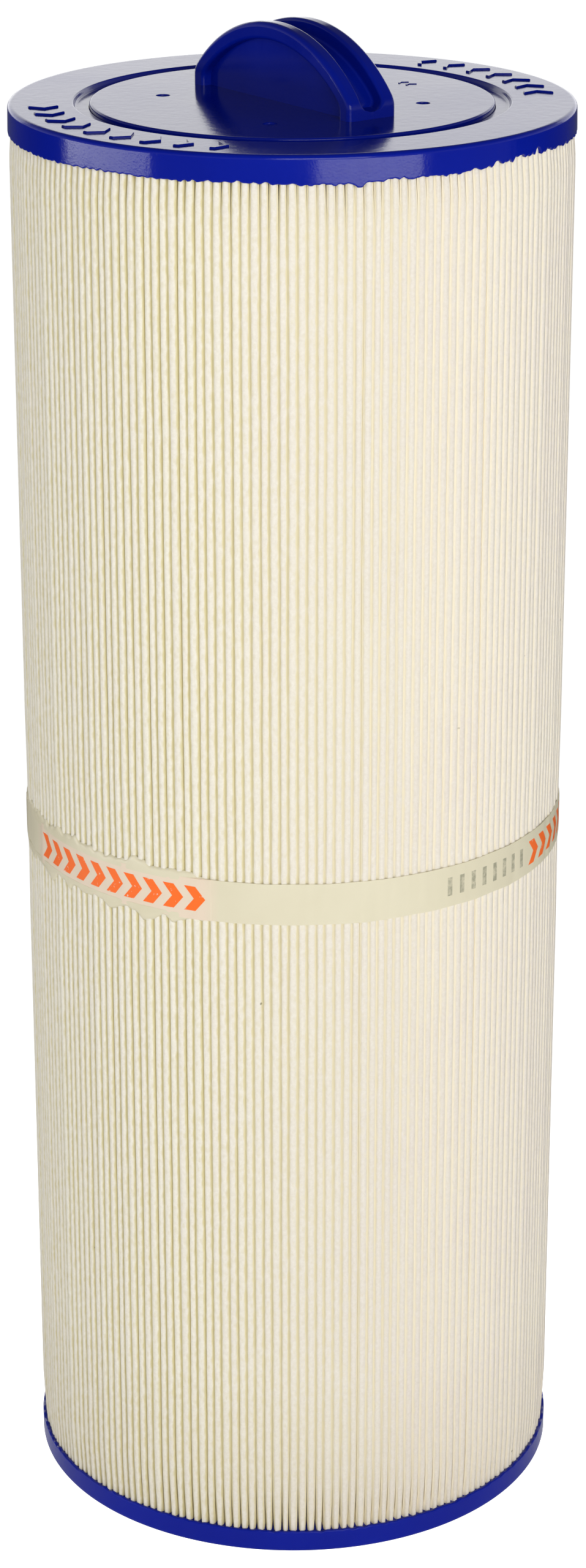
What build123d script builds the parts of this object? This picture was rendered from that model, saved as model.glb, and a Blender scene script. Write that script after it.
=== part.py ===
from build123d import *

import math
import os

# Top-loading pleated filter cartridge. Its axis is Z, and the open end of its threaded
# outlet stands on Z = 0. The grip's long side runs from the back left to the front right.
# All sizes are in millimetres and all angles in degrees.

# Overall
cap_radius = 62.7
body_height = 331.0  # underside of the bottom cap to the face of the top cap
fit_gap = 0.2  # radial clearance where a plug enters the core

# Threaded outlet: 1-1/2 inch pipe thread, 11.5 threads to the inch, taper 1 in 16
thread_length = 18.0
thread_major_radius = 24.13
thread_pitch = 25.4 / 11.5
thread_depth = 0.8 * thread_pitch
thread_root_half = 0.46 * thread_pitch  # half the thread's width at its root, and at its crest
thread_crest_half = 0.06 * thread_pitch
thread_bite = 0.3  # how far the thread's root is sunk into the spigot
thread_start = 0.8 * thread_pitch
thread_relief = 3.3  # from the last turn's middle to the shoulder
thread_rise = 1 / 32  # the taper, on the radius
outlet_radius = 19.0
shoulder_radius = 29.0
shoulder_height = 7.0
shoulder_chamfer = 0.8
flange_radius = 38.0
flange_thickness = 2.0
plug_height = 10.0

# Levels
cap_bottom_z = thread_length + shoulder_height
top_z = cap_bottom_z + body_height

# Cast end caps
bottom_cap_height = 5.5
top_cap_height = 6.6
cap_edge_round = 0.8
gutter_outer_radius = 48.2
gutter_depth = 1.2

# Handle plate
plate_radius = 44.6
plate_thickness = 3.0
dimple_radius = 1.6
dimple_depth = 0.5
dimple_circle = 29.0
grip_angle = -53.6  # direction of the grip's long side, from +X
grip_half_length = 29.0
grip_wall_height = 3.7
grip_height = 17.3
grip_width = 12.8
rib_width = 3.6
rib_rise = 3.4  # how far the two ribs stand above the channel between them
wall_drop = 0.2  # how far a wall's top drops for each millimetre that its outline is inset
channel_floor = 1.5
panel_margin = 3.8
panel_depth = 2.3
core_out_width = 3.2
core_out_margin = 6.0
grip_edge = 0.7
cut_margin = 6.0  # how far a cut runs past the outline that it follows
touch = 0.01  # how near two sizes are when they count as the same
plug_wall = 3.0

# Core tube
core_outer_radius = 25.2
core_inner_radius = 22.6
window_columns = 12
window_rows = 17
window_width = 8.0
window_height = 13.0
window_pitch = 18.2
window_stagger = 180 / window_columns

# Pleated media
media_radius = 62.0
fold_radius = 25.8
pleat_count = 196
sheet_thickness = 0.35
tip_half_width = 0.66
outer_root_rise = 0.6  # how far the roots of the two skins stand above the fold radius
inner_root_rise = 0.3
leg_gap = 0.06  # between two neighbouring legs at their roots
media_end_gap = 0.3  # cast resin between the pleats' ends and the plates behind them
seam_thickness = 0.3
seam_inner_radius = 46.0
seam_outer_radius = 60.0

# Centre band
band_centre_z = top_z - 165.9
band_width = 9.8
band_thickness = 0.3
lap_start = -176.0  # the strap's second layer lies between these two directions
lap_end = -106.5
bead_width = 1.3
bead_thickness = 0.45

# Marks on the top cap: raised arrowheads that point the way the cartridge screws in
mark_circle = 55.0
mark_height = 0.4
mark_reach = 3.3
mark_stroke = 1.1
mark_step = 8.0
mark_runs = ((-170.0, 9), (8.0, 7))  # first direction and number of marks


def ring(inner, outer):
    """A ring sketch in the plane of the sketch that is being built."""
    Circle(outer)
    Circle(inner, mode=Mode.SUBTRACT)


def polar(radius, angle):
    return (radius * math.cos(math.radians(angle)), radius * math.sin(math.radians(angle)))


def beside(radius, angle, sideways):
    """A point at this radius, moved sideways from the spoke that runs at this angle."""
    x, y = polar(radius, angle)
    side_x, side_y = polar(sideways, angle + 90)
    return (x + side_x, y + side_y)


def pleat_outline(tip_radius, leg_top_radius, half_width, root_radius, root_half_gap, round_root):
    """A closed pleated outline: an arc over each tip, a leg down each side, and a root."""
    step = 360 / pleat_count
    for i in range(pleat_count):
        angle = i * step
        left_foot = beside(root_radius, angle, -root_half_gap)
        right_foot = beside(root_radius, angle, root_half_gap)
        left_top = beside(leg_top_radius, angle, -half_width)
        right_top = beside(leg_top_radius, angle, half_width)
        next_foot = beside(root_radius, angle + step, -root_half_gap)
        Line(left_foot, left_top)
        ThreePointArc(left_top, polar(tip_radius, angle), right_top)
        Line(right_top, right_foot)
        if round_root:
            ThreePointArc(right_foot, polar(fold_radius, angle + step / 2), next_foot)
        else:
            Line(right_foot, next_foot)


def arch(inset, floor):
    """The grip's side view, inset from its outline: two short upright walls and an arc over them."""
    half = grip_half_length - inset
    wall_top = grip_wall_height - wall_drop * inset
    Polyline((half, wall_top), (half, floor), (-half, floor), (-half, wall_top))
    ThreePointArc((-half, wall_top), (0, grip_height - inset), (half, wall_top))


# Threaded fitting: flange, shoulder, spigot with its thread, and a plug up into the core
flange_top_z = cap_bottom_z + flange_thickness
thread_root_radius = thread_major_radius - thread_depth
spigot_end_radius = thread_root_radius - thread_length * thread_rise

with BuildPart() as threaded_fitting:
    with BuildSketch(Plane.XZ):
        with BuildLine():
            Polyline(
                (outlet_radius, 0),
                (spigot_end_radius, 0),
                (thread_root_radius, thread_length),
                (shoulder_radius, thread_length),
                (shoulder_radius, cap_bottom_z),
                (flange_radius, cap_bottom_z),
                (flange_radius, flange_top_z),
                (core_inner_radius - fit_gap, flange_top_z),
                (core_inner_radius - fit_gap, flange_top_z + plug_height),
                (outlet_radius, flange_top_z + plug_height),
                close=True,
            )
        make_face()
    revolve(axis=Axis.Z)
    shoulder_edge = threaded_fitting.edges().filter_by(GeomType.CIRCLE)
    shoulder_edge = shoulder_edge.filter_by(lambda e: abs(e.radius - shoulder_radius) < touch)
    chamfer(shoulder_edge.sort_by(Axis.Z)[0], shoulder_chamfer)
    with BuildLine() as thread_path:
        Helix(
            pitch=thread_pitch,
            height=thread_length - thread_start - thread_relief,
            radius=spigot_end_radius + thread_start * thread_rise,
            center=(0, 0, thread_start),
            cone_angle=math.degrees(math.atan(thread_rise)),
        )
    with BuildSketch(Plane(thread_path.line @ 0, x_dir=(1, 0, 0), z_dir=thread_path.line % 0)):
        with BuildLine():
            Polyline(
                (-thread_bite, -thread_root_half),
                (thread_depth, -thread_crest_half),
                (thread_depth, thread_crest_half),
                (-thread_bite, thread_root_half),
                close=True,
            )
        make_face()
    sweep(path=thread_path.line, is_frenet=True)
threaded_fitting.part.label = "threaded_fitting"

# Core tube: a rigid cage of windows, standing on the flange and reaching the plate
plate_bottom_z = top_z - plate_thickness
core_height = plate_bottom_z - flange_top_z

with BuildPart() as core_tube:
    with BuildSketch(Plane.XY.offset(flange_top_z)):
        ring(core_inner_radius, core_outer_radius)
    extrude(amount=core_height)
    for row in range(window_rows):
        window_z = flange_top_z + core_height / 2 + (row - (window_rows - 1) / 2) * window_pitch
        with Locations((0, 0, window_z)):
            with PolarLocations(core_inner_radius, window_columns, start_angle=window_stagger * (row % 2)):
                Box(2 * cut_margin, window_width, window_height, mode=Mode.SUBTRACT)
core_tube.part.label = "core_tube"

# Pleated media: one sheet folded into a closed ring of pleats
media_bottom_z = flange_top_z + media_end_gap
media_top_z = plate_bottom_z - media_end_gap
leg_top_radius = media_radius - tip_half_width
root_half_pitch = math.pi * (fold_radius + sheet_thickness) / pleat_count

with BuildPart() as pleated_media:
    with BuildSketch(Plane.XY.offset(media_bottom_z)):
        with BuildLine():
            pleat_outline(
                media_radius,
                leg_top_radius,
                tip_half_width,
                fold_radius + outer_root_rise,
                root_half_pitch - leg_gap / 2,
                False,
            )
        make_face()
        with BuildLine(mode=Mode.PRIVATE) as inner_outline:
            pleat_outline(
                media_radius - sheet_thickness,
                leg_top_radius,
                tip_half_width - sheet_thickness,
                fold_radius + inner_root_rise,
                root_half_pitch - sheet_thickness,
                True,
            )
        make_face(inner_outline.edges(), mode=Mode.SUBTRACT)
    extrude(amount=media_top_z - media_bottom_z)
pleated_media.part.label = "pleated_media"

# Seam strip: joins the sheet's two ends, in the gap between two pleats at the back
seam_angle = 90 + 180 / pleat_count
seam_reach = seam_outer_radius - seam_inner_radius
seam_x, seam_y = polar((seam_inner_radius + seam_outer_radius) / 2, seam_angle)

with BuildPart() as seam_strip:
    with BuildSketch(Plane.XY.offset(media_bottom_z)):
        with Locations(Location((seam_x, seam_y, 0), seam_angle)):
            Rectangle(seam_reach, seam_thickness)
    extrude(amount=media_top_z - media_bottom_z)
seam_strip.part.label = "seam_strip"

# Bottom cap: cast round the fitting's flange and the lower ends of the pleats
with BuildPart() as bottom_cap:
    with BuildSketch(Plane.XZ):
        with BuildLine():
            Polyline(
                (flange_radius, cap_bottom_z),
                (cap_radius - cap_edge_round, cap_bottom_z),
                (cap_radius, cap_bottom_z + cap_edge_round),
                (cap_radius, cap_bottom_z + bottom_cap_height),
                (core_outer_radius, cap_bottom_z + bottom_cap_height),
                (core_outer_radius, flange_top_z),
                (flange_radius, flange_top_z),
                close=True,
            )
        make_face()
    revolve(axis=Axis.Z)
    add(pleated_media.part, mode=Mode.SUBTRACT)
    add(seam_strip.part, mode=Mode.SUBTRACT)
bottom_cap.part.label = "bottom_cap"

# Top cap: cast under the handle plate and round the upper ends of the pleats
skirt_bottom_z = top_z - top_cap_height
mark_outline = (
    (-mark_reach, -mark_stroke),
    (0, mark_stroke),
    (mark_reach, -mark_stroke),
    (mark_reach, 0),
    (0, 2 * mark_stroke),
    (-mark_reach, 0),
)

with BuildPart() as top_cap:
    with BuildSketch(Plane.XZ):
        with BuildLine():
            Polyline(
                (core_outer_radius, plate_bottom_z),
                (plate_radius, plate_bottom_z),
                (plate_radius, top_z - gutter_depth),
                (gutter_outer_radius, top_z - gutter_depth),
                (gutter_outer_radius, top_z),
                (cap_radius - cap_edge_round, top_z),
                (cap_radius, top_z - cap_edge_round),
                (cap_radius, skirt_bottom_z),
                (core_outer_radius, skirt_bottom_z),
                close=True,
            )
        make_face()
    revolve(axis=Axis.Z)
    add(pleated_media.part, mode=Mode.SUBTRACT)
    add(seam_strip.part, mode=Mode.SUBTRACT)
    with BuildSketch(Plane.XY.offset(top_z)):
        for first, count in mark_runs:
            for i in range(count):
                direction = first + i * mark_step
                with Locations(Location((*polar(mark_circle, direction), 0), direction)):
                    Polygon(*mark_outline, align=None)
    extrude(amount=mark_height)
top_cap.part.label = "top_cap"

# Handle plate: a disc with a D-shaped grip on it and a plug down into the core
grip_plane = Plane(
    origin=(0, 0, top_z),
    x_dir=(*polar(1, grip_angle), 0),
    z_dir=(*polar(1, grip_angle - 90), 0),
)
channel_width = grip_width - 2 * rib_width


def on_grip_rim(edge):
    """True for the edges round the outside of the grip's two flat sides, above the plate."""
    along, up, across = grip_plane.to_local_coords(edge.center())
    on_outline = abs(along) > grip_half_length - touch or up > grip_height - touch
    return on_outline and up > grip_edge and abs(abs(across) - grip_width / 2) < touch


with BuildPart() as handle_plate:
    with BuildSketch(grip_plane):
        with BuildLine():
            arch(0, -plate_thickness / 2)
        make_face()
    extrude(amount=grip_width / 2, both=True)
    with BuildSketch(grip_plane):
        with BuildLine():
            arch(-cut_margin, channel_floor)
        make_face()
        with BuildLine(mode=Mode.PRIVATE) as channel_line:
            arch(rib_rise, -plate_thickness / 2)
        make_face(channel_line.edges(), mode=Mode.SUBTRACT)
    extrude(amount=channel_width / 2, both=True, mode=Mode.SUBTRACT)
    for side in (1, -1):
        with BuildSketch(grip_plane.offset(side * grip_width / 2)):
            with BuildLine():
                arch(panel_margin, 0)
            make_face()
        extrude(amount=-side * panel_depth, mode=Mode.SUBTRACT)
    with BuildSketch(Plane.XY.offset(plate_bottom_z)):
        Circle(plate_radius)
    extrude(amount=plate_thickness)
    with BuildSketch(Plane.XY.offset(plate_bottom_z)):
        ring(core_inner_radius - fit_gap - plug_wall, core_inner_radius - fit_gap)
    extrude(amount=-plug_height)
    with BuildSketch(grip_plane):
        with BuildLine():
            arch(core_out_margin, -plate_thickness - cut_margin)
        make_face()
    extrude(amount=core_out_width / 2, both=True, mode=Mode.SUBTRACT)
    with BuildSketch(Plane.XY.offset(top_z)):
        with PolarLocations(dimple_circle, 4, start_angle=-9.5):
            Circle(dimple_radius)
    extrude(amount=-dimple_depth, mode=Mode.SUBTRACT)
    chamfer(handle_plate.edges().filter_by(on_grip_rim), grip_edge)
handle_plate.part.label = "handle_plate"

# Centre band: a strap once round the pleats, its second layer lapped over the first
band_bottom_z = band_centre_z - band_width / 2
lap_radius = media_radius + 2 * band_thickness


def sector(start, end, radius):
    """A pie slice from one direction to another, cut out of what is being sketched."""
    middle = polar(radius, (start + end) / 2)
    with BuildLine(mode=Mode.PRIVATE) as slice_line:
        Line((0, 0), polar(radius, start))
        ThreePointArc(polar(radius, start), middle, polar(radius, end))
        Line(polar(radius, end), (0, 0))
    make_face(slice_line.edges(), mode=Mode.INTERSECT)


with BuildPart() as centre_band:
    with BuildSketch(Plane.XY.offset(band_bottom_z)):
        ring(media_radius, media_radius + band_thickness)
    extrude(amount=band_width)
    with BuildSketch(Plane.XY.offset(band_bottom_z)):
        ring(media_radius, lap_radius)
        sector(lap_start, lap_end, cap_radius)
    extrude(amount=band_width)
centre_band.part.label = "centre_band"

# Band adhesive: two beads squeezed out along the strap's lap, above it and below it
with BuildPart() as band_adhesive:
    for bead_z in (band_bottom_z - bead_width, band_bottom_z + band_width):
        with BuildSketch(Plane.XY.offset(bead_z)):
            ring(media_radius, media_radius + bead_thickness)
            sector(lap_start, lap_end, cap_radius)
        extrude(amount=bead_width)
band_adhesive.part.label = "band_adhesive"

os.makedirs("parts", exist_ok=True)
for piece in (
    threaded_fitting,
    core_tube,
    pleated_media,
    seam_strip,
    bottom_cap,
    top_cap,
    handle_plate,
    centre_band,
    band_adhesive,
):
    export_step(piece.part, f"parts/{piece.part.label}.step")
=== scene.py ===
import math

import bpy
import bmesh
import numpy as np
from mathutils import Matrix, Vector


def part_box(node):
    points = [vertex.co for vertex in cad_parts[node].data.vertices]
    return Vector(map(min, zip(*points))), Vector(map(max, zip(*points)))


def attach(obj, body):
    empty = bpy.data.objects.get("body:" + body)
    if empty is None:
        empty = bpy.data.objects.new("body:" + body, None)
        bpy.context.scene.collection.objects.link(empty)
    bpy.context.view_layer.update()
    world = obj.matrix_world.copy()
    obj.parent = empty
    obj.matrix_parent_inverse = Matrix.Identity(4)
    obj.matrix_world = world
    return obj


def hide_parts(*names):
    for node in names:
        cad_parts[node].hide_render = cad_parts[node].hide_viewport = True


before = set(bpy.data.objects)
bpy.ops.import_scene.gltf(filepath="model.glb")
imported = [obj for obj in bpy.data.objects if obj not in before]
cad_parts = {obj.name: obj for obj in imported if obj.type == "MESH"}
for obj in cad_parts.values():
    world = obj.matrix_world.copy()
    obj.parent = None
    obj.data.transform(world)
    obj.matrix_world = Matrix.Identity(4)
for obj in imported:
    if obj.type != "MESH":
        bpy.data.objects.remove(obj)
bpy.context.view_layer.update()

MM = 0.001
SEED = 7

# ---------------------------------------------------------------- levels and radii, from the frame
plate_low, plate_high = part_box("handle_plate")
media_low, media_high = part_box("pleated_media")
core_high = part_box("core_tube")[1]
base_low, base_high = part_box("bottom_cap")
top_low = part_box("top_cap")[0]
band_low, band_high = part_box("centre_band")

CAP_RADIUS = base_high.x
CORE_RADIUS = core_high.x
MEDIA_RADIUS = media_high.x
PLATE_BOTTOM = core_high.z
BASE_BOTTOM = base_low.z
BASE_TOP = base_high.z
SKIRT_BOTTOM = top_low.z

# ---------------------------------------------------------------- sizes of the moulded parts
PLATE_THICKNESS = 3.0 * MM
TOP = PLATE_BOTTOM + PLATE_THICKNESS
PLATE_RADIUS = 44.6 * MM
GUTTER_RADIUS = 48.2 * MM
GUTTER_DEPTH = 1.2 * MM
PLUG_OUTER = 22.4 * MM
PLUG_INNER = 19.4 * MM
FLANGE_RADIUS = 38.0 * MM
FLANGE_THICKNESS = 2.0 * MM
DIMPLE_CIRCLE = 29.0 * MM
DIMPLE_RADIUS = 1.6 * MM
DIMPLE_DEPTH = 0.5 * MM
DIMPLE_START = -9.5
REVOLVE_SEGMENTS = 784
PLATE_SEGMENTS = 288
CAP_DRAFT = 0.12 * MM
DRIP = math.radians(-77.2)  # direction of the resin's one drip below the skirt
THIN_SKIRT = math.radians(-30)  # direction in which the skirt's edge stands highest

GRIP_ANGLE = math.radians(-53.6)
GRIP_HALF_LENGTH = 29.0 * MM
GRIP_WALL = 3.7 * MM
GRIP_HEIGHT = plate_high.z - TOP
GRIP_HALF_WIDTH = 6.4 * MM
CHANNEL_HALF_WIDTH = 2.8 * MM
CHANNEL_DEPTH = 3.4 * MM
CHANNEL_FLOOR = 1.5 * MM
PANEL_MARGIN = 3.8 * MM
PANEL_DEPTH = 2.3 * MM

MARK_CIRCLE = 55.0 * MM
MARK_HEIGHT = 0.4 * MM
MARK_REACH = 3.3 * MM
MARK_STROKE = 1.1 * MM
MARK_STEP = 8.0
MARK_RUNS = ((-170.0, 9), (8.0, 7))
SMALL_MARK_CIRCLE = 32.0 * MM
SMALL_MARK_SIZE = 0.42
SMALL_MARKS = (34.0, 39.0)

# ---------------------------------------------------------------- sizes of the pleats and the strap
PLEATS = 196
PLEAT_STEP = 2 * math.pi / PLEATS
FOLD_RADIUS = 26.1 * MM
SHEET = 0.35 * MM
TIP_DEPTH = 0.5 * MM
BULGE = 0.55 * MM  # how far the pleats swell between the caps and the strap
WAIST_SHARE = 0.55  # how much of the swelling the strap presses back, and over what height
WAIST_REACH = 9 * MM
BAND_RADIUS = MEDIA_RADIUS + 0.28 * MM
BAND_THICKNESS = 0.26 * MM
LAP_LIFT = 0.15 * MM
STRAP_SINK = 0.05 * MM  # the strap's edges are this much inside its box and thinner
LAP_START = math.radians(-176.0)
LAP_END = math.radians(-106.5)

# ---------------------------------------------------------------- print on the strap
DEGREE = math.pi / 180 * MEDIA_RADIUS  # length along the strap of one degree
CHEVRON_HALF_HEIGHT = 2.9 * MM
CHEVRON_PITCH = 5.2 * MM
CHEVRON_DUTY = 0.52
CHEVRON_SLOPE = 0.8
BAR_HALF_HEIGHT = 2.2 * MM
BAR_PITCH = 3.4 * MM
BAR_DUTY = 0.36
BLUSH_START = (-160, -156)  # directions over which the pink round the orange print sets in
BLUSH_END = (-105, -108.5)

# ---------------------------------------------------------------- the photograph's camera
CAMERA_DISTANCE = 818.2 * MM
CAMERA_ABOVE_TOP = 150.01 * MM
CAMERA_DOWN = math.radians(20.82)
CAMERA_ROLL = -0.001


# ---------------------------------------------------------------- mesh helpers
def make_object(name, points, faces, sharp_angle=40.0):
    """A mesh object with its normals outward, smooth but for edges sharper than the angle."""
    mesh = bpy.data.meshes.new(name)
    mesh.from_pydata([tuple(p) for p in points], [], [tuple(int(i) for i in f) for f in faces])
    work = bmesh.new()
    work.from_mesh(mesh)
    bmesh.ops.remove_doubles(work, verts=work.verts, dist=1e-7)
    bmesh.ops.recalc_face_normals(work, faces=work.faces)
    work.to_mesh(mesh)
    work.free()
    finish_shading(mesh, sharp_angle)
    made = bpy.data.objects.new(name, mesh)
    bpy.context.scene.collection.objects.link(made)
    return made


def finish_shading(mesh, sharp_angle=40.0):
    """Smooth shading, but for edges sharper than the angle."""
    mesh.polygons.foreach_set("use_smooth", [True] * len(mesh.polygons))
    mesh.set_sharp_from_angle(angle=math.radians(sharp_angle))


def join(name, objects):
    """One object from several."""
    with bpy.context.temp_override(
        active_object=objects[0], selected_objects=objects, selected_editable_objects=objects
    ):
        bpy.ops.object.join()
    objects[0].name = name
    return objects[0]


def grid_faces(rows, columns, wrap_rows=False, wrap_columns=True, first=0):
    """Quads of a rows x columns grid of points, either way wrapped into a ring."""
    faces = []
    for r in range(rows if wrap_rows else rows - 1):
        here, above = first + r * columns, first + (r + 1) % rows * columns
        for c in range(columns if wrap_columns else columns - 1):
            d = (c + 1) % columns
            faces.append((here + c, here + d, above + d, above + c))
    return faces


def rounded(corners, steps=4, closed=True):
    """An outline through (x, y, radius) corners, each one turned in an arc.

    A point beyond each end of an arc keeps the flat next to it flat when it is shaded smooth.
    """
    outline = []
    count = len(corners)
    for i, (x, y, radius) in enumerate(corners):
        corner = np.array((x, y))
        if radius == 0 or (not closed and i in (0, count - 1)):
            outline.append(corner)
            continue
        back = np.array(corners[i - 1][:2]) - corner
        ahead = np.array(corners[(i + 1) % count][:2]) - corner
        span = min(np.linalg.norm(back), np.linalg.norm(ahead))
        back /= np.linalg.norm(back)
        ahead /= np.linalg.norm(ahead)
        half = math.acos(np.clip(back @ ahead, -1, 1)) / 2
        reach = min(radius / math.tan(half), 0.45 * span)
        beyond = reach + min(0.25 * reach, 0.04 * span)
        true_radius = reach * math.tan(half)
        centre = corner + (back + ahead) / np.linalg.norm(back + ahead) * true_radius / math.sin(half)
        start, end = corner + back * reach - centre, corner + ahead * reach - centre
        turn = math.acos(np.clip(start @ end / true_radius**2, -1, 1))
        outline.append(corner + back * beyond)
        for k in range(steps + 1):
            t = k / steps
            arm = (math.sin((1 - t) * turn) * start + math.sin(t * turn) * end) / math.sin(turn)
            outline.append(centre + arm)
        outline.append(corner + ahead * beyond)
    return np.array(outline)


def ring_solid(name, profile_at, segments, sharp_angle=40.0):
    """A closed profile, which may change with the angle, taken once round the axis."""
    points = []
    for s in range(segments):
        angle = 2 * math.pi * s / segments
        profile = profile_at(angle)
        for r, z in profile:
            points.append((r * math.cos(angle), r * math.sin(angle), z))
    return make_object(
        name, points, grid_faces(segments, len(profile), wrap_rows=True), sharp_angle
    )


def lathe(name, profile, segments, sharp_angle=40.0):
    """An open profile that starts and ends on the axis, taken once round it."""
    points = []
    for s in range(segments):
        angle = 2 * math.pi * s / segments
        points.extend((r * math.cos(angle), r * math.sin(angle), z) for r, z in profile)
    faces = grid_faces(segments, len(profile), wrap_rows=True, wrap_columns=False)
    return make_object(name, points, faces, sharp_angle)


def polar(radius, angle, z):
    return Vector((radius * math.cos(angle), radius * math.sin(angle), z))


def periodic_noise(rng, low, high):
    """A smooth function of the angle, about -1 to 1, made of waves low to high times round."""
    waves = np.arange(low, high)
    phases = rng.uniform(0, 2 * math.pi, len(waves))
    sizes = rng.uniform(0.4, 1.0, len(waves))
    scale = 1.8 / math.sqrt(float((sizes**2).sum()))

    def value(angle):
        return scale * float((sizes * np.cos(waves * angle + phases)).sum()) / math.sqrt(2)

    return value


def smoothstep(low, high, x):
    t = np.clip((x - low) / (high - low), 0, 1)
    return t * t * (3 - 2 * t)


def bump_at(angle, centre, width):
    """1 at the centre direction, falling to 0 over the width on each side."""
    away = math.remainder(angle - centre, 2 * math.pi)
    return math.exp(-((away / width) ** 2))


# ---------------------------------------------------------------- material helpers
def srgb(red, green, blue):
    """A linear colour from 0-255 display values."""
    def linear(value):
        c = value / 255
        return c / 12.92 if c <= 0.04045 else ((c + 0.055) / 1.055) ** 2.4

    return (linear(red), linear(green), linear(blue), 1.0)


class Paint:
    """Builds one material's nodes."""

    def __init__(self, name, **sockets):
        self.material = bpy.data.materials.new(name)
        self.material.use_nodes = True
        self.nodes = self.material.node_tree.nodes
        self.links = self.material.node_tree.links
        self.surface = self.nodes["Principled BSDF"]
        for socket, value in sockets.items():
            self.surface.inputs[socket.replace("_", " ")].default_value = value

    def node(self, kind, inputs, output=0, **settings):
        made = self.nodes.new("ShaderNode" + kind)
        for key, value in settings.items():
            setattr(made, key, value)
        for key, value in inputs.items():
            self.feed(made.inputs[key], value)
        return made.outputs[output]

    def feed(self, socket, value):
        if isinstance(value, bpy.types.NodeSocket):
            self.links.new(value, socket)
        else:
            socket.default_value = value

    def set(self, socket, value):
        self.feed(self.surface.inputs[socket], value)

    def math(self, operation, a, b=0.0, clamp=False):
        return self.node("Math", {0: a, 1: b}, operation=operation, use_clamp=clamp)

    def mix(self, factor, a, b, blend="MIX"):
        return self.node("Mix", {0: factor, 6: a, 7: b}, 2, data_type="RGBA", blend_type=blend)

    def ramp(self, value, low, high, to_low=0.0, to_high=1.0):
        return self.node("MapRange", {0: value, 1: low, 2: high, 3: to_low, 4: to_high})

    def place(self):
        return self.node("TexCoord", {}, "Object")

    def noise(self, scale, detail=2.0, rough=0.5, place=None, output=0):
        return self.node(
            "TexNoise",
            {"Vector": place or self.place(), "Scale": scale, "Detail": detail, "Roughness": rough},
            output,
        )

    def bump(self, *heights):
        """Chains (height socket, distance in metres, strength) into the surface normal."""
        normal = None
        for height, distance, strength in heights:
            inputs = {"Height": height, "Distance": distance, "Strength": strength}
            if normal is not None:
                inputs["Normal"] = normal
            normal = self.node("Bump", inputs)
        self.set("Normal", normal)


def moulded_blue(name, light, dark, roughness):
    """Blue plastic: a slow change of tone, a fine grain, and gloss that varies a little."""
    paint = Paint(name, IOR=1.26)
    slow = paint.noise(35.0, 3.0)
    grain = paint.noise(2200.0, 2.0)
    upright = paint.node("Mapping", {"Vector": paint.place(), "Scale": (1.0, 1.0, 0.3)})
    waves = paint.noise(420.0, 3.0, place=upright)
    paint.set("Base Color", paint.mix(paint.ramp(slow, 0.3, 0.7), dark, light))
    paint.set("Roughness", paint.ramp(slow, 0.3, 0.7, roughness - 0.03, roughness + 0.04))
    paint.bump((waves, 0.05 * MM, 0.5), (grain, 0.02 * MM, 0.5))
    return paint.material


def core_white():
    paint = Paint("core_plastic", IOR=1.45)
    slow = paint.noise(40.0, 3.0)
    grain = paint.noise(1500.0, 2.0)
    paint.set("Base Color", paint.mix(slow, srgb(214, 213, 205), srgb(228, 227, 220)))
    paint.set("Roughness", paint.ramp(slow, 0.3, 0.7, 0.38, 0.52))
    paint.bump((grain, 0.04 * MM, 0.5))
    return paint.material


def filter_fabric():
    """Spunbond polyester: soft fibres and pressed dimples, with painted shade, darker and yellower,
    between the pleats.

    Painted side light: from -X to +X the tips darken and the valleys lighten, so the contrast between
    them falls. Painted shade makes the lowest part darker.
    """
    paint = Paint("filter_fabric", IOR=1.3)
    place = paint.place()
    split = paint.nodes.new("ShaderNodeSeparateXYZ")
    paint.links.new(place, split.inputs[0])
    tint = paint.node("Attribute", {}, "Fac", attribute_name="tint")
    cloud = paint.noise(28.0, 3.0)
    fibre = paint.noise(1400.0, 4.0, 0.7)
    stretched = paint.node("Mapping", {"Vector": place, "Scale": (1.0, 1.0, 0.5)})
    dimple = paint.node(
        "TexVoronoi", {"Vector": stretched, "Scale": 1000.0, "Smoothness": 0.7}, feature="SMOOTH_F1"
    )
    folded = paint.node("Attribute", {}, "Fac", attribute_name="depth")
    ragged = paint.math("ADD", folded, paint.ramp(dimple, 0.2, 0.8, 0.25, -0.25))
    depth = paint.ramp(ragged, 0.15, 0.9)
    # across runs from 0 at -X to 1 at +X and carries painted side light: darker tips and lighter valleys
    # towards +X.
    across = paint.ramp(split.outputs[0], -0.35 * MEDIA_RADIUS, 0.5 * MEDIA_RADIUS)
    tip = paint.mix(across, srgb(243, 239, 226), srgb(234, 226, 217))
    tip = paint.mix(paint.math("MULTIPLY", tint, 0.5), tip, srgb(239, 233, 224))
    tip = paint.mix(paint.ramp(cloud, 0.35, 0.75, 0.0, 0.5), tip, srgb(241, 236, 220))
    speckle = paint.mix(paint.ramp(fibre, 0.3, 0.75), srgb(226, 220, 203), srgb(255, 255, 252))
    tip = paint.mix(0.4, tip, speckle, "MULTIPLY")
    # Painted shade between the pleats: the valley colour is darker and yellower than the tips, and
    # lighter towards +X.
    valley = paint.mix(across, srgb(216, 205, 158), srgb(238, 229, 206))
    cloth = paint.mix(depth, tip, valley)
    # Painted shade: the lowest 45 mm of the pleats is darker.
    painted_low_shade = paint.ramp(split.outputs[2], media_low.z + 45 * MM, media_low.z, 0.0, 0.3)
    cloth = paint.mix(painted_low_shade, cloth, srgb(222, 216, 208), "MULTIPLY")
    specks = paint.node("TexVoronoi", {"Vector": place, "Scale": 60.0})
    cloth = paint.mix(paint.ramp(specks, 0.022, 0.012, 0.0, 0.8), cloth, srgb(120, 112, 84))
    paint.set("Base Color", cloth)
    paint.set("Roughness", paint.ramp(fibre, 0.2, 0.8, 0.72, 0.92))
    paint.set("Sheen Weight", 0.08)
    paint.bump((dimple, 0.2 * MM, 0.5), (fibre, 0.09 * MM, 0.6))
    return paint.material


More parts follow.
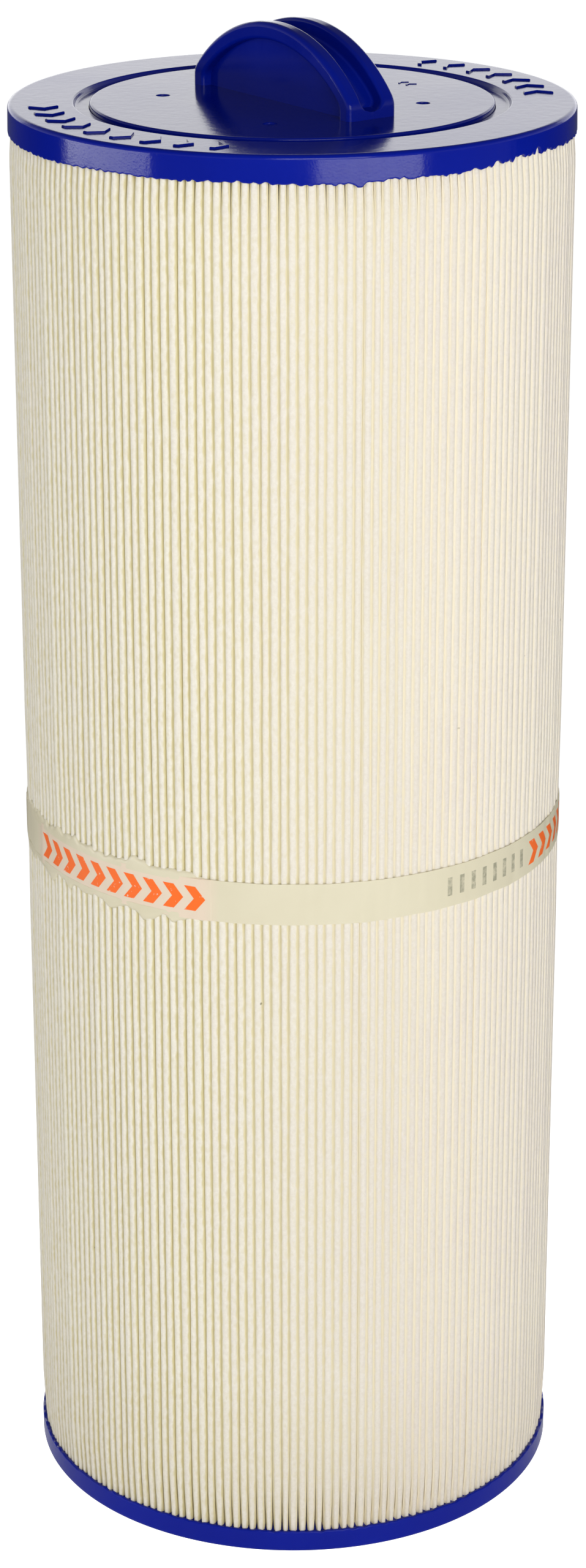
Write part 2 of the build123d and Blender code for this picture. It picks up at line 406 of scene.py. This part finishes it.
def strap_print(paint, along, up, first, count, half_height, pitch, duty, slope):
    """1 inside a run of chevrons, or of bars where the slope is 0, printed along the strap.

    The run is the cells first to first + count - 1, each one a pitch long.
    """
    start = first * pitch - slope * half_height - 0.03 * MM
    end = (first + count - 1 + duty) * pitch + 0.1 * MM
    lean = paint.math("MULTIPLY", paint.math("ABSOLUTE", up), slope)
    cell = paint.math("FRACT", paint.math("DIVIDE", paint.math("ADD", along, lean), pitch))
    stroke = paint.math("LESS_THAN", cell, duty)
    tall = paint.math("LESS_THAN", paint.math("ABSOLUTE", up), half_height)
    after = paint.math("GREATER_THAN", along, start)
    before = paint.math("LESS_THAN", along, end)
    inside = paint.math("MULTIPLY", after, before)
    return paint.math("MULTIPLY", paint.math("MULTIPLY", stroke, tall), inside)


def strap_plastic():
    """Translucent strap with a generic print: orange chevrons and grey bars."""
    paint = Paint("strap", IOR=1.45)
    paper = paint.nodes.new("ShaderNodeUVMap")
    paper.uv_map = "strap"
    split = paint.nodes.new("ShaderNodeSeparateXYZ")
    paint.links.new(paper.outputs[0], split.inputs[0])
    along, up = split.outputs[0], split.outputs[1]
    cloud = paint.noise(60.0, 3.0)
    fine = paint.noise(900.0, 3.0, 0.6)
    colour = paint.mix(cloud, srgb(219, 211, 182), srgb(226, 219, 192))
    blush = paint.math(
        "MULTIPLY",
        paint.ramp(along, *(DEGREE * a for a in BLUSH_START)),
        paint.ramp(along, *(DEGREE * a for a in BLUSH_END)),
    )
    colour = paint.mix(paint.math("MULTIPLY", blush, 0.5), colour, srgb(240, 212, 194))
    chevron = (CHEVRON_HALF_HEIGHT, CHEVRON_PITCH, CHEVRON_DUTY, CHEVRON_SLOPE)
    first = strap_print(paint, along, up, -32, 10, *chevron)
    second = strap_print(paint, along, up, -6, 10, *chevron)
    grey = strap_print(paint, along, up, -18, 8, BAR_HALF_HEIGHT, BAR_PITCH, BAR_DUTY, 0.0)
    ink = paint.ramp(fine, 0.26, 0.36)
    colour = paint.mix(
        paint.math("MULTIPLY", grey, paint.ramp(fine, 0.35, 0.6, 0.3, 0.85)), colour, srgb(146, 144, 122)
    )
    orange = paint.math("MULTIPLY", paint.math("MAXIMUM", first, second), ink)
    colour = paint.mix(orange, colour, srgb(255, 112, 30))
    paint.set("Base Color", colour)
    paint.set("Roughness", paint.ramp(cloud, 0.3, 0.7, 0.30, 0.45))
    paint.bump((cloud, 0.5 * MM, 0.25), (fine, 0.03 * MM, 0.4))
    return paint.material


def hot_melt():
    paint = Paint("hot_melt", IOR=1.45)
    cloud = paint.noise(120.0, 3.0)
    fine = paint.noise(700.0, 3.0, 0.6)
    paint.set("Base Color", paint.mix(cloud, srgb(216, 208, 176), srgb(228, 220, 194)))
    paint.set("Roughness", paint.ramp(fine, 0.3, 0.7, 0.28, 0.5))
    paint.bump((cloud, 0.6 * MM, 0.5), (fine, 0.08 * MM, 0.5))
    return paint.material


def floor_paint(name, glow, front, behind):
    """Pale floor that glows a little, and takes another colour behind the object."""
    paint = Paint(name, Roughness=0.9, Emission_Strength=glow)
    split = paint.nodes.new("ShaderNodeSeparateXYZ")
    paint.links.new(paint.place(), split.inputs[0])
    slow = paint.noise(1.5, 2.0)
    front = paint.mix(paint.ramp(slow, 0.0, 1.0, 0.0, 0.1), front, srgb(255, 255, 255))
    colour = paint.mix(paint.ramp(split.outputs[1], 0.1, 0.35), front, behind)
    paint.set("Base Color", colour)
    paint.set("Emission Color", colour)
    return paint.material


# ---------------------------------------------------------------- pleated media
def pleated_media():
    """One folded sheet: an outer skin and an inner skin a sheet's thickness behind it.

    Neighbouring pleats share a valley, which wanders a little up and round the ring. The
    space left in a valley is almost nothing half-way up and opens where the ends are cast.
    """
    rng = np.random.default_rng(SEED)
    height = media_high.z - media_low.z
    waist = (band_high.z + band_low.z) / 2 - media_low.z
    from_end = np.array((0, 1.5, 3, 4.5, 6, 8, 10.5, 14, 19, 26)) * MM
    middle = np.linspace(from_end[-1], height - from_end[-1], 18)[1:-1]
    outer_rows = np.concatenate((from_end, middle, height - from_end[::-1]))
    inner_rows = np.concatenate((from_end[[0, 5, 9]], middle[[4, 11]], height - from_end[[9, 5, 0]]))

    valley_shift = rng.uniform(-0.13, 0.13, PLEATS) * MM
    sway_size = rng.uniform(0.02, 0.07, (PLEATS, 2)) * MM
    sway_phase = rng.uniform(0, 2 * math.pi, (PLEATS, 2))
    rest_gap = (0.01 + 0.02 * rng.uniform(0, 1, PLEATS)) * MM
    foot_gap = rng.uniform(0.45, 0.95, PLEATS) * MM
    head_gap = rng.uniform(0.15, 0.55, PLEATS) * MM
    tip_inset = rng.uniform(0.0, 0.24, PLEATS) * MM
    sides = np.array((-1, -0.86, -0.7, -0.5, 0.5, 0.7, 0.86, 1))
    drops = TIP_DEPTH * smoothstep(0.42, 0.92, np.abs(sides))

    def skin(rows, inset):
        points, depths = [], []
        index = np.arange(PLEATS)
        for up in rows:
            wave = sway_size[:, 0] * np.sin(up / (19 * MM) + sway_phase[:, 0])
            wave += sway_size[:, 1] * np.sin(up / (7 * MM) + sway_phase[:, 1])
            low = np.exp(-up / (6.5 * MM))
            high = np.exp(-(height - up) / (4.5 * MM))
            gap = rest_gap + foot_gap * low + head_gap * high
            valley = (index + 0.5) * PLEAT_STEP + (valley_shift + wave) / MEDIA_RADIUS
            right = valley - gap / 2 / MEDIA_RADIUS
            left = np.roll(valley, 1) + np.roll(gap, 1) / 2 / MEDIA_RADIUS
            left[0] -= 2 * math.pi
            centre, half = (left + right) / 2, (right - left) / 2 - inset / MEDIA_RADIUS
            swell = BULGE * smoothstep(0, 16 * MM, up) * smoothstep(0, 10 * MM, height - up)
            swell *= 1 - WAIST_SHARE * math.exp(-(((up - waist) / WAIST_REACH) ** 2))
            tip = MEDIA_RADIUS + swell - tip_inset - inset
            ends = 1 + 1.1 * low + 0.7 * high
            foot_radius = FOLD_RADIUS + (SHEET if inset == 0 else 0)
            foot = (0.5 * PLEAT_STEP * FOLD_RADIUS - 0.04 * MM - inset) / FOLD_RADIUS
            for i in range(PLEATS):
                base = i * PLEAT_STEP
                spokes = [(foot_radius, base - foot)]
                for side, drop in zip(sides, drops):
                    spokes.append((tip[i] - drop * ends, centre[i] + half[i] * side))
                spokes.append((foot_radius, base + foot))
                points.extend(polar(r, a, media_low.z + up) for r, a in spokes)
                depths.extend((1.0, *(drops / TIP_DEPTH), 1.0))
        return points, depths

    outer, outer_depths = skin(outer_rows, 0)
    inner, inner_depths = skin(inner_rows, SHEET)
    columns = PLEATS * (len(sides) + 2)
    faces = grid_faces(len(outer_rows), columns)
    faces += grid_faces(len(inner_rows), columns, first=len(outer))
    ends = (
        (0, len(outer)),
        (len(outer) - columns, len(outer) + len(inner) - columns),
    )
    for outside, inside in ends:
        for c in range(columns):
            d = (c + 1) % columns
            faces.append((outside + c, outside + d, inside + d, inside + c))
    media = make_object("pleated_media_folds", outer + inner, faces, sharp_angle=75)
    tints = np.repeat(rng.uniform(0, 1, PLEATS), columns // PLEATS)
    tints = np.tile(tints, len(outer_rows) + len(inner_rows))
    # depth, from 0 at a tip to 1 in the fold, places the painted valley shade of filter_fabric; tint is
    # a random tone for each pleat.
    for name, values in (("tint", tints), ("depth", outer_depths + inner_depths)):
        media.data.attributes.new(name, "FLOAT", "POINT").data.foreach_set("value", values)
    return media


# ---------------------------------------------------------------- cast caps
def skirt_edge():
    """How far the cast edge stands above the skirt's lowest line, as a function of the angle."""
    rng = np.random.default_rng(SEED + 2)
    slow = periodic_noise(rng, 3, 14)
    scallop = periodic_noise(rng, 40, 110)
    teeth = periodic_noise(rng, 110, 260)

    def edge(angle):
        right = bump_at(angle, THIN_SKIRT, math.radians(42))
        calm = 0.35 + 0.65 * right
        rise = 0.38 + 0.18 * slow(angle) + 0.9 * right
        rise += calm * 0.32 * max(scallop(angle), -0.6) + (0.11 + 0.13 * right) * teeth(angle)
        rise -= 1.5 * bump_at(angle, DRIP, math.radians(0.9))
        lowest = -0.45 * bump_at(angle, DRIP, math.radians(2))
        return max(rise, lowest) * MM

    return edge


def arrowhead(radius, angle, size):
    """A raised arrowhead on a top face that points the way the cartridge screws in."""
    outline = [
        (-MARK_REACH, -MARK_STROKE),
        (0, MARK_STROKE),
        (MARK_REACH, -MARK_STROKE),
        (MARK_REACH, 0),
        (0, 2 * MARK_STROKE),
        (-MARK_REACH, 0),
    ]
    crown = 0.15 * MM
    place = Matrix.Translation(polar(radius, angle, TOP)) @ Matrix.Rotation(angle, 4, "Z")
    levels = ((-0.3 * MM, 1.0), (MARK_HEIGHT - crown, 1.0), (MARK_HEIGHT, 0.93))
    points = []
    for z, share in levels:
        for x, y in outline:
            y = (y - MARK_STROKE / 2) * share + MARK_STROKE / 2
            points.append(place @ Vector((x * share * size, y * size, z * size)))
    faces = grid_faces(len(levels), len(outline))
    faces.append(tuple(range(len(outline))))
    faces.append(tuple(range(len(points) - len(outline), len(points))))
    return make_object("mark", points, faces, 30)


def cap_marks():
    """The two runs of arrowheads on the top cap."""
    return [
        arrowhead(MARK_CIRCLE, math.radians(first + k * MARK_STEP), 1.0)
        for first, count in MARK_RUNS
        for k in range(count)
    ]


def plate_marks():
    """The two small arrowheads near the dimple on the right."""
    return [arrowhead(SMALL_MARK_CIRCLE, math.radians(angle), SMALL_MARK_SIZE) for angle in SMALL_MARKS]


def top_cap():
    """A ring over the pleats' upper ends, with a gutter round the handle plate and a ragged skirt."""
    edge = skirt_edge()
    under = SKIRT_BOTTOM + 0.9 * MM

    def profile(angle):
        low = SKIRT_BOTTOM + edge(angle)
        return rounded(
            (
                (CORE_RADIUS, PLATE_BOTTOM, 0),
                (PLATE_RADIUS + 0.05 * MM, PLATE_BOTTOM, 0),
                (PLATE_RADIUS + 0.05 * MM, TOP - GUTTER_DEPTH, 0.2 * MM),
                (GUTTER_RADIUS - 0.4 * MM, TOP - GUTTER_DEPTH, 0.6 * MM),
                (GUTTER_RADIUS, TOP, 0.35 * MM),
                (CAP_RADIUS - CAP_DRAFT, TOP, 0.9 * MM),
                (CAP_RADIUS, low, 0.3 * MM),
                (MEDIA_RADIUS - 0.3 * MM, low + 0.1 * MM, 0),
                (MEDIA_RADIUS - 2.5 * MM, max(under, low), 0),
                (CORE_RADIUS, max(under, low), 0),
            )
        )

    ring = ring_solid("top_cap_body", profile, REVOLVE_SEGMENTS)
    return join("top_cap_cast", [ring] + cap_marks())


def bottom_cap():
    """A shallow dish round the pleats' lower ends, with a slightly uneven rim."""
    rng = np.random.default_rng(SEED + 3)
    rim = periodic_noise(rng, 30, 160)
    floor = BASE_TOP - 0.5 * MM

    def profile(angle):
        top = BASE_TOP - 0.12 * MM + 0.1 * MM * rim(angle)
        return rounded(
            (
                (FLANGE_RADIUS, BASE_BOTTOM, 0),
                (CAP_RADIUS, BASE_BOTTOM, 0.8 * MM),
                (CAP_RADIUS, top, 0.4 * MM),
                (MEDIA_RADIUS + 0.02 * MM, top - 0.05 * MM, 0.15 * MM),
                (MEDIA_RADIUS - 0.5 * MM, floor, 0.2 * MM),
                (CORE_RADIUS, floor, 0),
                (CORE_RADIUS, BASE_BOTTOM + FLANGE_THICKNESS, 0),
                (FLANGE_RADIUS, BASE_BOTTOM + FLANGE_THICKNESS, 0),
            )
        )

    return ring_solid("bottom_cap_cast", profile, REVOLVE_SEGMENTS)


# ---------------------------------------------------------------- handle plate
def arch(inset):
    """(along, up) points over the grip, this far inside its outline, with its two bends eased."""
    half, wall, apex = GRIP_HALF_LENGTH - inset, GRIP_WALL - 0.2 * inset, GRIP_HEIGHT - inset
    rise = apex - wall
    radius = (half**2 + rise**2) / (2 * rise)
    sweep = math.asin(half / radius)
    arc = np.linspace(-sweep, sweep, 90)
    over = np.stack((radius * np.sin(arc), apex - radius + radius * np.cos(arc)), 1)
    levels = np.linspace(-1.0 * MM, wall, 12)[:-1]
    left = np.stack((np.full(len(levels), -half), levels), 1)
    line = np.concatenate((left, over, left[::-1] * (-1, 1)))
    for _ in range(7):
        line[1:-1] = (line[:-2] + 2 * line[1:-1] + line[2:]) / 4
    return line


def grip_section(up):
    """(inset, across) points from the front panel over the ribs to the back one."""
    into = smoothstep(CHANNEL_FLOOR, CHANNEL_FLOOR + 0.9 * MM, up)
    short = max(CHANNEL_FLOOR + CHANNEL_HALF_WIDTH - up, 0)
    width = math.sqrt(max(CHANNEL_HALF_WIDTH**2 - short**2, (0.3 * MM) ** 2))
    depth = max(CHANNEL_DEPTH * into, 0.02 * MM)
    panel = GRIP_HALF_WIDTH - PANEL_DEPTH
    side = rounded(
        (
            (PANEL_MARGIN, panel, 0),
            (PANEL_MARGIN, panel + 0.05 * MM, 0),
            (PANEL_MARGIN, GRIP_HALF_WIDTH, 0.8 * MM),
            (0, GRIP_HALF_WIDTH, 1.1 * MM),
            (0, width, 0.7 * MM),
            (depth, width, 0.6 * MM),
            (depth, 0, 0),
        ),
        closed=False,
    )
    return np.concatenate((side, side[-2::-1] * (1, -1)))


def grip():
    """A D-shaped arch: two ribs with a channel between them, round a panel set back each side."""
    outline = arch(0)
    inner = arch(PANEL_MARGIN)
    points = []
    for (along, up), (inner_along, inner_up) in zip(outline, inner):
        for inset, across in grip_section(up):
            t = inset / PANEL_MARGIN
            points.append((along + (inner_along - along) * t, across, up + (inner_up - up) * t))
    columns = len(points) // len(outline)
    faces = grid_faces(len(outline), columns, wrap_columns=False)
    faces.append([r * columns for r in range(len(outline))])
    faces.append([r * columns + columns - 1 for r in range(len(outline))])
    last = (len(outline) - 1) * columns
    faces.append([*range(columns), *range(last + columns - 1, last - 1, -1)])
    turn = Matrix.Rotation(GRIP_ANGLE, 4, "Z")
    made = make_object("grip", [turn @ Vector(p) + Vector((0, 0, TOP)) for p in points], faces, 45)
    return made


def plate_disc():
    """The plate with its four dimples, and the plug under it that enters the core."""
    profile = rounded(
        (
            (0, TOP, 0),
            (DIMPLE_CIRCLE - 4 * MM, TOP, 0),
            (DIMPLE_CIRCLE + 4 * MM, TOP, 0),
            (PLATE_RADIUS, TOP, 0.45 * MM),
            (PLATE_RADIUS, PLATE_BOTTOM, 0.2 * MM),
            (PLUG_OUTER, PLATE_BOTTOM, 0),
            (PLUG_OUTER, plate_low.z, 0.5 * MM),
            (PLUG_INNER, plate_low.z, 0.5 * MM),
            (PLUG_INNER, PLATE_BOTTOM, 0.5 * MM),
            (0, PLATE_BOTTOM, 0),
        ),
        closed=False,
    )
    disc = lathe("disc", profile, PLATE_SEGMENTS)
    cutters = []
    for k in range(4):
        angle = math.radians(DIMPLE_START + 90 * k)
        bowl = rounded(
            (
                (0, -DIMPLE_DEPTH, 0),
                (DIMPLE_RADIUS, -DIMPLE_DEPTH, 0.3 * MM),
                (DIMPLE_RADIUS, 1 * MM, 0),
                (0, 1 * MM, 0),
            ),
            closed=False,
        )
        cutter = lathe("dimple", bowl, 32)
        cutter.data.transform(Matrix.Translation(polar(DIMPLE_CIRCLE, angle, TOP)))
        cutters.append(cutter)
    for cutter in cutters:
        cut = disc.modifiers.new("dimple", "BOOLEAN")
        cut.operation, cut.solver, cut.object = "DIFFERENCE", "EXACT", cutter
    evaluated = disc.evaluated_get(bpy.context.evaluated_depsgraph_get())
    mesh = bpy.data.meshes.new_from_object(evaluated)
    disc.modifiers.clear()
    disc.data = mesh
    for cutter in cutters:
        bpy.data.objects.remove(cutter)
    finish_shading(mesh)
    return disc


def handle_plate():
    return join("handle_plate_moulded", [plate_disc(), grip()] + plate_marks())


# ---------------------------------------------------------------- strap and its adhesive
def strap_strip(name, start, end, inner, thickness, segments, rng, taper):
    """A strip of strap between two directions, with edges that wander slightly."""
    upper, lower = periodic_noise(rng, 4, 40), periodic_noise(rng, 4, 40)
    lift = periodic_noise(rng, 20, 120)
    half = (band_high.z - band_low.z) / 2
    centre = (band_high.z + band_low.z) / 2
    whole = end - start > 2 * math.pi - 0.01
    angles = np.linspace(start, end, segments + (0 if whole else 1), endpoint=not whole)
    shares = np.linspace(-1, 1, 7)
    points = []
    for angle in angles:
        thick = thickness
        if taper:
            thick *= float(smoothstep(0, math.radians(0.6), min(angle - start, end - angle))) * 0.8 + 0.2
        top = half - STRAP_SINK + STRAP_SINK * upper(angle)
        bottom = half - STRAP_SINK + STRAP_SINK * lower(angle)
        wave = 0.03 * MM * lift(angle)
        ring = []
        for share in shares:
            z = centre + share * (top if share > 0 else bottom)
            ease = STRAP_SINK if abs(share) == 1 else 0
            ring.append((inner + thick + wave - ease, z))
        for share in shares[::-1]:
            z = centre + share * (top if share > 0 else bottom)
            ring.append((inner, z))
        points.extend(polar(radius, angle, z) for radius, z in ring)
    columns = len(shares) * 2
    faces = grid_faces(len(angles), columns, wrap_rows=whole)
    if not whole:
        faces.append(range(columns))
        faces.append(range(len(points) - columns, len(points)))
    made = make_object(name, points, faces, 50)
    write_strap_places(made)
    return made


def write_strap_places(piece):
    """Gives each corner its place on the strap in metres: the arc's length, and the height."""
    centre = (band_high.z + band_low.z) / 2
    layer = piece.data.uv_layers.new(name="strap")
    for face in piece.data.polygons:
        angles = []
        for k in face.loop_indices:
            co = piece.data.vertices[piece.data.loops[k].vertex_index].co
            angles.append(math.atan2(co.y, co.x))
        if max(angles) - min(angles) > math.pi:
            angles = [a - 2 * math.pi if a > 0 else a for a in angles]
        for k, angle in zip(face.loop_indices, angles):
            co = piece.data.vertices[piece.data.loops[k].vertex_index].co
            layer.data[k].uv = (angle * MEDIA_RADIUS, co.z - centre)


def centre_band():
    """One turn of strap and a second layer over part of it."""
    rng = np.random.default_rng(SEED + 4)
    first = strap_strip(
        "strap_round", -math.pi, math.pi, BAND_RADIUS, BAND_THICKNESS, 588, rng, False
    )
    lap = strap_strip(
        "strap_lap",
        LAP_START,
        LAP_END,
        BAND_RADIUS + LAP_LIFT,
        BAND_THICKNESS,
        180,
        rng,
        True,
    )
    return join("centre_band_strap", [first, lap])


def squeeze_out(name, side, rng):
    """Hot-melt pressed out past one edge of the lap, thin and uneven, over the pleats' tips."""
    reach = periodic_noise(rng, 8, 60)
    fine = periodic_noise(rng, 60, 160)
    edge = band_high.z if side > 0 else band_low.z
    inside = edge - side * 1.0 * MM
    angles = np.linspace(LAP_START, LAP_END - math.radians(2), 210)
    shares = np.linspace(0, 1, 7)
    points = []
    for angle in angles:
        ends = smoothstep(0, math.radians(7), min(angle - angles[0], angles[-1] - angle))
        width = (1.3 + 0.6 * reach(angle) + 0.22 * fine(angle)) * MM * (0.25 + 0.75 * ends)
        width = max(width, 0.25 * MM)
        outer, under = [], []
        for share in shares:
            z = inside + side * share * (width + 1.0 * MM)
            thick = 0.55 * MM * math.sqrt(max(1 - share**3, 0.0)) * (0.4 + 0.6 * float(ends))
            outer.append(polar(BAND_RADIUS - 0.12 * MM + thick, angle, z))
            under.append(polar(BAND_RADIUS - 0.25 * MM, angle, z))
        points += outer + under[::-1]
    columns = len(shares) * 2
    faces = grid_faces(len(angles), columns)
    faces.append(range(columns))
    faces.append(range(len(points) - columns, len(points)))
    return make_object(name, points, faces, 60)


def band_adhesive():
    rng = np.random.default_rng(SEED + 5)
    return join("band_adhesive_film", [squeeze_out("above", 1, rng), squeeze_out("below", -1, rng)])


# ---------------------------------------------------------------- surroundings
def softbox(name, azimuth, distance, low, high, width, radiance):
    """A rectangular lamp that faces the object, with its lower and upper edge at these heights."""
    lamp = bpy.data.lights.new(name, "AREA")
    lamp.shape = "RECTANGLE"
    lamp.size, lamp.size_y = width, high - low
    lamp.energy = radiance * math.pi * width * (high - low)
    made = bpy.data.objects.new(name, lamp)
    angle = math.radians(azimuth)
    made.location = (distance * math.sin(angle), -distance * math.cos(angle), (low + high) / 2)
    made.visible_camera = False
    aim = Vector((0, 0, made.location.z)) - made.location
    made.rotation_euler = aim.to_track_quat("-Z", "Y").to_euler()
    bpy.context.scene.collection.objects.link(made)


def floor(name, level, paint):
    half = 9.0
    rows = np.linspace(-half, half, 9)
    points = [(x, y, level) for y in rows for x in rows]
    made = make_object(name, points, grid_faces(9, 9, wrap_columns=False))
    made.data.materials.append(paint)
    return made


def floors():
    """One floor for the camera to see, and one that lights the object and shows in its gloss."""
    white = srgb(248, 248, 248)
    seen = floor("floor", -0.1 * MM, floor_paint("floor_white", 0.88, white, white))
    seen.visible_diffuse = seen.visible_glossy = False
    grey, dark = srgb(214, 214, 216), srgb(60, 62, 70)
    bounce = floor("floor_bounce", 0, floor_paint("floor_bounce", 0.2, grey, dark))
    bounce.visible_camera = bounce.visible_shadow = False


def surroundings():
    """A room that is bright at the horizon and dark overhead, four lamps, and the floors."""
    scene = bpy.context.scene
    world = bpy.data.worlds.new("room")
    world.use_nodes = True
    nodes, links = world.node_tree.nodes, world.node_tree.links
    place = nodes.new("ShaderNodeTexCoord")
    split = nodes.new("ShaderNodeSeparateXYZ")
    level = nodes.new("ShaderNodeMapRange")
    links.new(place.outputs["Generated"], split.inputs[0])
    links.new(split.outputs[2], level.inputs[0])
    for socket, value in zip(level.inputs[1:5], (0.05, 0.5, 0.8, 0.13)):
        socket.default_value = value
    links.new(level.outputs[0], nodes["Background"].inputs["Strength"])
    nodes["Background"].inputs["Color"].default_value = (1.0, 1.0, 1.0, 1.0)
    scene.world = world
    softbox("key", 30, 0.9, 0.19, 0.29, 0.7, 9.0)
    softbox("upper", 12, 1.2, 0.4, 0.9, 0.8, 5.6)
    softbox("fill", -78, 0.9, 0.19, 0.30, 0.7, 9.5)
    softbox("behind", 180, 3.2, 0.05, 1.8, 6.0, 1.12)
    floors()
    scene.view_settings.view_transform = "Standard"
    scene.view_settings.look = "None"


def camera():
    """The photograph's camera, in front of the cartridge and looking down at it."""
    data = bpy.data.cameras.new("camera")
    data.sensor_width = 36.0
    data.lens = 85.41
    made = bpy.data.objects.new("camera", data)
    made.location = (0, -CAMERA_DISTANCE, TOP + CAMERA_ABOVE_TOP)
    tilt = Matrix.Rotation(math.pi / 2 - CAMERA_DOWN, 4, "X") @ Matrix.Rotation(CAMERA_ROLL, 4, "Z")
    made.rotation_euler = tilt.to_euler()
    data.clip_start, data.clip_end = 0.01, 50.0
    bpy.context.scene.collection.objects.link(made)
    bpy.context.scene.camera = made


def stand_for(piece, node, paint):
    piece.data.materials.clear()
    piece.data.materials.append(paint)
    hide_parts(node)
    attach(piece, "root")


def repaint(node, paint):
    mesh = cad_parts[node].data
    mesh.materials.clear()
    mesh.materials.append(paint)


surroundings()
camera()
cap_blue = moulded_blue("cap_resin", srgb(4, 25, 146), srgb(4, 22, 136), 0.12)
plate_blue = moulded_blue("blue_plastic", srgb(4, 25, 142), srgb(4, 21, 130), 0.13)
media = pleated_media()
stand_for(media, "pleated_media", filter_fabric())
stand_for(top_cap(), "top_cap", cap_blue)
stand_for(bottom_cap(), "bottom_cap", cap_blue)
stand_for(handle_plate(), "handle_plate", plate_blue)
stand_for(centre_band(), "centre_band", strap_plastic())
stand_for(band_adhesive(), "band_adhesive", hot_melt())
repaint("threaded_fitting", plate_blue)
repaint("core_tube", core_white())
repaint("seam_strip", hot_melt())
